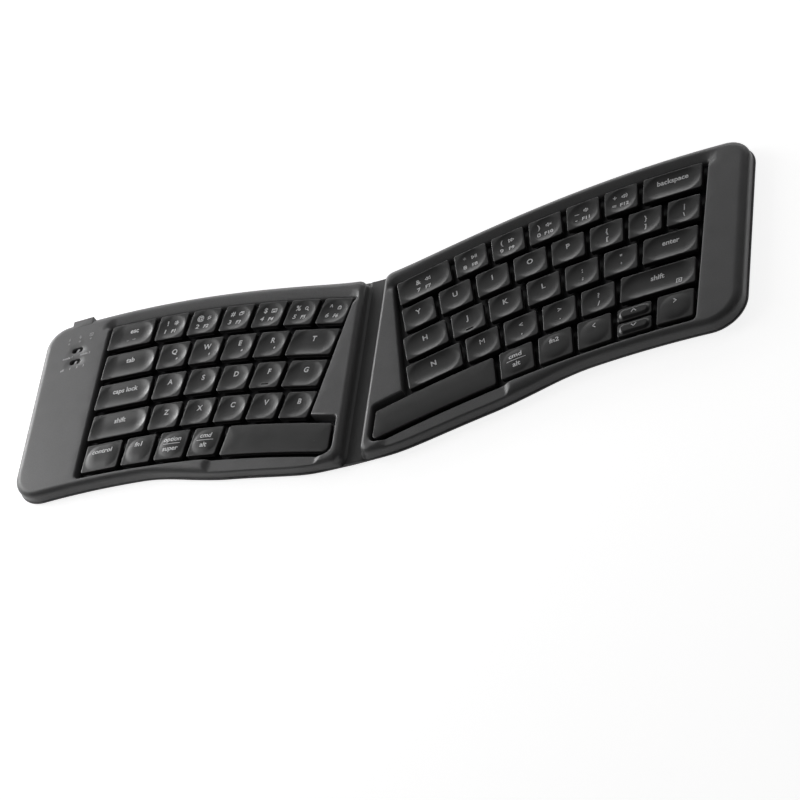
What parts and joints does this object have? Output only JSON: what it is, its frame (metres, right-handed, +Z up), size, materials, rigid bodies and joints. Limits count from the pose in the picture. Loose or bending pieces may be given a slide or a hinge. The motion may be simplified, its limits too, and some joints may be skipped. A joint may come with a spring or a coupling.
{
  "type": "folding keyboard",
  "caption": "Two thin gull-wing key decks joined by a soft double-fold spine, closing face to face, with low dished keys, two slide switches and a rear charging port.",
  "frame": {"origin": "on the table under the middle of the opened keyboard", "axes": "+X across the keyboard towards its right half, +Y away from the user towards the number row, +Z up out of the keys"},
  "size_m": [0.3382, 0.1199, 0.0071],
  "materials": {
    "skin": "soft matte, fine grain",
    "case": "satin",
    "tray": "matte",
    "support_plate": "brushed",
    "switch_film": "printed film",
    "dome_silicone": "soft satin",
    "link_plastic": "natural moulded",
    "screw_steel": "zinc plated",
    "foot_rubber": "matte",
    "magnet_plating": "nickel plated",
    "spine_steel": "spring steel",
    "spine_lining": "soft matte",
    "cable_film": "amber film",
    "battery_foil": "foil pouch",
    "board": "solder mask",
    "shield": "tin plated",
    "socket_steel": "satin",
    "switch_plastic": "matte",
    "light_guide": "frosted clear",
    "knob_plastic": "satin",
    "keycap": "satin, fine texture"
  },
  "bodies": {
    "left_half": {"left_back_skin": "skin", "left_base_tray": "tray", "left_frame": "case", "left_key_plate": "support_plate", "left_membrane": "switch_film", "left_domes": "dome_silicone", "left_scissors": "link_plastic", "left_screws": "screw_steel", "left_feet": "foot_rubber", "left_magnets": "magnet_plating", "battery": "battery_foil", "main_board": "board", "radio_module": "shield", "usb_socket": "socket_steel", "slide_switches": "switch_plastic", "status_lights": "light_guide"},
    "spine": {"spine_skin": "skin", "spine_stiffener": "spine_steel", "spine_lining": "spine_lining", "hinge_flex_cable": "cable_film"},
    "right_half": {"right_back_skin": "skin", "right_base_tray": "tray", "right_frame": "case", "right_key_plate": "support_plate", "right_membrane": "switch_film", "right_domes": "dome_silicone", "right_scissors": "link_plastic", "right_screws": "screw_steel", "right_feet": "foot_rubber", "right_magnets": "magnet_plating"},
    "left_number_keys": {"left_number_keys": "keycap"},
    "left_top_letter_keys": {"left_top_letter_keys": "keycap"},
    "left_home_letter_keys": {"left_home_letter_keys": "keycap"},
    "left_low_letter_keys": {"left_low_letter_keys": "keycap"},
    "key_esc": {"key_esc": "keycap"},
    "key_tab": {"key_tab": "keycap"},
    "key_caps": {"key_caps": "keycap"},
    "key_left_shift": {"key_left_shift": "keycap"},
    "key_control": {"key_control": "keycap"},
    "key_left_fn": {"key_left_fn": "keycap"},
    "key_left_option": {"key_left_option": "keycap"},
    "key_left_command": {"key_left_command": "keycap"},
    "left_space_bar": {"left_space_bar": "keycap"},
    "right_number_keys": {"right_number_keys": "keycap"},
    "right_top_letter_keys": {"right_top_letter_keys": "keycap"},
    "right_home_letter_keys": {"right_home_letter_keys": "keycap"},
    "right_low_letter_keys": {"right_low_letter_keys": "keycap"},
    "key_backspace": {"key_backspace": "keycap"},
    "key_enter": {"key_enter": "keycap"},
    "key_right_shift": {"key_right_shift": "keycap"},
    "key_right_command": {"key_right_command": "keycap"},
    "key_right_fn": {"key_right_fn": "keycap"},
    "key_arrow_left": {"key_arrow_left": "keycap"},
    "key_arrow_up": {"key_arrow_up": "keycap"},
    "key_arrow_down": {"key_arrow_down": "keycap"},
    "key_arrow_right": {"key_arrow_right": "keycap"},
    "right_space_bar": {"right_space_bar": "keycap"},
    "mode_knob": {"mode_knob": "knob_plastic"},
    "power_knob": {"power_knob": "knob_plastic"}
  },
  "joints": [
    {"name": "fold_left", "type": "hinge", "parent": "spine", "child": "left_half", "pos_m": [-0.00575, 0, 0.0015], "axis": [0, 1, 0], "range_deg": [0, 90], "deforming": ["hinge_flex_cable"]},
    {"name": "fold_right", "type": "hinge", "parent": "spine", "child": "right_half", "pos_m": [0.00575, 0, 0.0015], "axis": [0, -1, 0], "range_deg": [0, 90], "deforming": ["hinge_flex_cable"]},
    {"name": "mode_slide", "type": "slide", "parent": "left_half", "child": "mode_knob", "axis": [1, 0, 0], "range_m": [-0.0012, 0.0012]},
    {"name": "power_slide", "type": "slide", "parent": "left_half", "child": "power_knob", "axis": [1, 0, 0], "range_m": [-0.0012, 0.0012]},
    {"name": "left_number_press", "type": "slide", "parent": "left_half", "child": "left_number_keys", "axis": [0, 0, -1], "range_m": [0, 0.0015], "stiffness_N_per_m": 300, "springref_m": -0.0004, "deforming": ["left_domes", "left_scissors"]},
    {"name": "left_top_letter_press", "type": "slide", "parent": "left_half", "child": "left_top_letter_keys", "axis": [0, 0, -1], "range_m": [0, 0.0015], "stiffness_N_per_m": 300, "springref_m": -0.0004, "deforming": ["left_domes", "left_scissors"]},
    {"name": "left_home_letter_press", "type": "slide", "parent": "left_half", "child": "left_home_letter_keys", "axis": [0, 0, -1], "range_m": [0, 0.0015], "stiffness_N_per_m": 300, "springref_m": -0.0004, "deforming": ["left_domes", "left_scissors"]},
    {"name": "left_low_letter_press", "type": "slide", "parent": "left_half", "child": "left_low_letter_keys", "axis": [0, 0, -1], "range_m": [0, 0.0015], "stiffness_N_per_m": 300, "springref_m": -0.0004, "deforming": ["left_domes", "left_scissors"]},
    {"name": "esc_press", "type": "slide", "parent": "left_half", "child": "key_esc", "axis": [0, 0, -1], "range_m": [0, 0.0015], "stiffness_N_per_m": 300, "springref_m": -0.0004, "deforming": ["left_domes", "left_scissors"]},
    {"name": "tab_press", "type": "slide", "parent": "left_half", "child": "key_tab", "axis": [0, 0, -1], "range_m": [0, 0.0015], "stiffness_N_per_m": 300, "springref_m": -0.0004, "deforming": ["left_domes", "left_scissors"]},
    {"name": "caps_press", "type": "slide", "parent": "left_half", "child": "key_caps", "axis": [0, 0, -1], "range_m": [0, 0.0015], "stiffness_N_per_m": 300, "springref_m": -0.0004, "deforming": ["left_domes", "left_scissors"]},
    {"name": "left_shift_press", "type": "slide", "parent": "left_half", "child": "key_left_shift", "axis": [0, 0, -1], "range_m": [0, 0.0015], "stiffness_N_per_m": 300, "springref_m": -0.0004, "deforming": ["left_domes", "left_scissors"]},
    {"name": "control_press", "type": "slide", "parent": "left_half", "child": "key_control", "axis": [0, 0, -1], "range_m": [0, 0.0015], "stiffness_N_per_m": 300, "springref_m": -0.0004, "deforming": ["left_domes", "left_scissors"]},
    {"name": "left_fn_press", "type": "slide", "parent": "left_half", "child": "key_left_fn", "axis": [0, 0, -1], "range_m": [0, 0.0015], "stiffness_N_per_m": 300, "springref_m": -0.0004, "deforming": ["left_domes", "left_scissors"]},
    {"name": "left_option_press", "type": "slide", "parent": "left_half", "child": "key_left_option", "axis": [0, 0, -1], "range_m": [0, 0.0015], "stiffness_N_per_m": 300, "springref_m": -0.0004, "deforming": ["left_domes", "left_scissors"]},
    {"name": "left_command_press", "type": "slide", "parent": "left_half", "child": "key_left_command", "axis": [0, 0, -1], "range_m": [0, 0.0015], "stiffness_N_per_m": 300, "springref_m": -0.0004, "deforming": ["left_domes", "left_scissors"]},
    {"name": "left_space_bar_press", "type": "slide", "parent": "left_half", "child": "left_space_bar", "axis": [0, 0, -1], "range_m": [0, 0.0015], "stiffness_N_per_m": 300, "springref_m": -0.0004, "deforming": ["left_domes", "left_scissors"]},
    {"name": "right_number_press", "type": "slide", "parent": "right_half", "child": "right_number_keys", "axis": [0, 0, -1], "range_m": [0, 0.0015], "stiffness_N_per_m": 300, "springref_m": -0.0004, "deforming": ["right_domes", "right_scissors"]},
    {"name": "right_top_letter_press", "type": "slide", "parent": "right_half", "child": "right_top_letter_keys", "axis": [0, 0, -1], "range_m": [0, 0.0015], "stiffness_N_per_m": 300, "springref_m": -0.0004, "deforming": ["right_domes", "right_scissors"]},
    {"name": "right_home_letter_press", "type": "slide", "parent": "right_half", "child": "right_home_letter_keys", "axis": [0, 0, -1], "range_m": [0, 0.0015], "stiffness_N_per_m": 300, "springref_m": -0.0004, "deforming": ["right_domes", "right_scissors"]},
    {"name": "right_low_letter_press", "type": "slide", "parent": "right_half", "child": "right_low_letter_keys", "axis": [0, 0, -1], "range_m": [0, 0.0015], "stiffness_N_per_m": 300, "springref_m": -0.0004, "deforming": ["right_domes", "right_scissors"]},
    {"name": "backspace_press", "type": "slide", "parent": "right_half", "child": "key_backspace", "axis": [0, 0, -1], "range_m": [0, 0.0015], "stiffness_N_per_m": 300, "springref_m": -0.0004, "deforming": ["right_domes", "right_scissors"]},
    {"name": "enter_press", "type": "slide", "parent": "right_half", "child": "key_enter", "axis": [0, 0, -1], "range_m": [0, 0.0015], "stiffness_N_per_m": 300, "springref_m": -0.0004, "deforming": ["right_domes", "right_scissors"]},
    {"name": "right_shift_press", "type": "slide", "parent": "right_half", "child": "key_right_shift", "axis": [0, 0, -1], "range_m": [0, 0.0015], "stiffness_N_per_m": 300, "springref_m": -0.0004, "deforming": ["right_domes", "right_scissors"]},
    {"name": "right_command_press", "type": "slide", "parent": "right_half", "child": "key_right_command", "axis": [0, 0, -1], "range_m": [0, 0.0015], "stiffness_N_per_m": 300, "springref_m": -0.0004, "deforming": ["right_domes", "right_scissors"]},
    {"name": "right_fn_press", "type": "slide", "parent": "right_half", "child": "key_right_fn", "axis": [0, 0, -1], "range_m": [0, 0.0015], "stiffness_N_per_m": 300, "springref_m": -0.0004, "deforming": ["right_domes", "right_scissors"]},
    {"name": "arrow_left_press", "type": "slide", "parent": "right_half", "child": "key_arrow_left", "axis": [0, 0, -1], "range_m": [0, 0.0015], "stiffness_N_per_m": 300, "springref_m": -0.0004, "deforming": ["right_domes", "right_scissors"]},
    {"name": "arrow_up_press", "type": "slide", "parent": "right_half", "child": "key_arrow_up", "axis": [0, 0, -1], "range_m": [0, 0.0015], "stiffness_N_per_m": 300, "springref_m": -0.0004, "deforming": ["right_domes", "right_scissors"]},
    {"name": "arrow_down_press", "type": "slide", "parent": "right_half", "child": "key_arrow_down", "axis": [0, 0, -1], "range_m": [0, 0.0015], "stiffness_N_per_m": 300, "springref_m": -0.0004, "deforming": ["right_domes", "right_scissors"]},
    {"name": "arrow_right_press", "type": "slide", "parent": "right_half", "child": "key_arrow_right", "axis": [0, 0, -1], "range_m": [0, 0.0015], "stiffness_N_per_m": 300, "springref_m": -0.0004, "deforming": ["right_domes", "right_scissors"]},
    {"name": "right_space_bar_press", "type": "slide", "parent": "right_half", "child": "right_space_bar", "axis": [0, 0, -1], "range_m": [0, 0.0015], "stiffness_N_per_m": 300, "springref_m": -0.0004, "deforming": ["right_domes", "right_scissors"]}
  ],
  "couplings": [
    {"joint": "fold_right", "follows": "fold_left", "ratio": 1}
  ]
}
